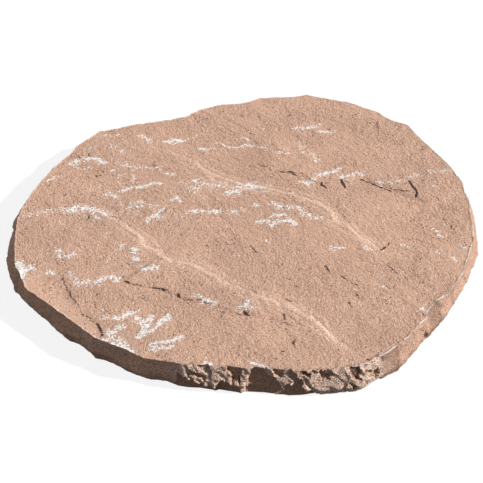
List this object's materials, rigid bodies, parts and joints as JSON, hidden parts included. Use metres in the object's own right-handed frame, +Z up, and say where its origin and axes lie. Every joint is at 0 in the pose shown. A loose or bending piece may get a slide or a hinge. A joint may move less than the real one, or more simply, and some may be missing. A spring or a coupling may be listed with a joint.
{
  "type": "stepping stone",
  "caption": "Irregular rounded slab of riven sandstone with a hammer-dressed edge, a cleft walking face and a flat bed, laid singly in a garden path to step on.",
  "frame": {"origin": "on the flat bed face, below the middle of the slab's bounding box", "axes": "+Z up through the thickness, from the bed face to the cleft walking face; +X along the slab's longest span; +Y away from the viewer across its width"},
  "size_m": [0.46, 0.43, 0.0369],
  "materials": {
    "sandstone": "matte"
  },
  "bodies": {
    "root": {"stepping_stone": "sandstone"}
  },
  "joints": []
}
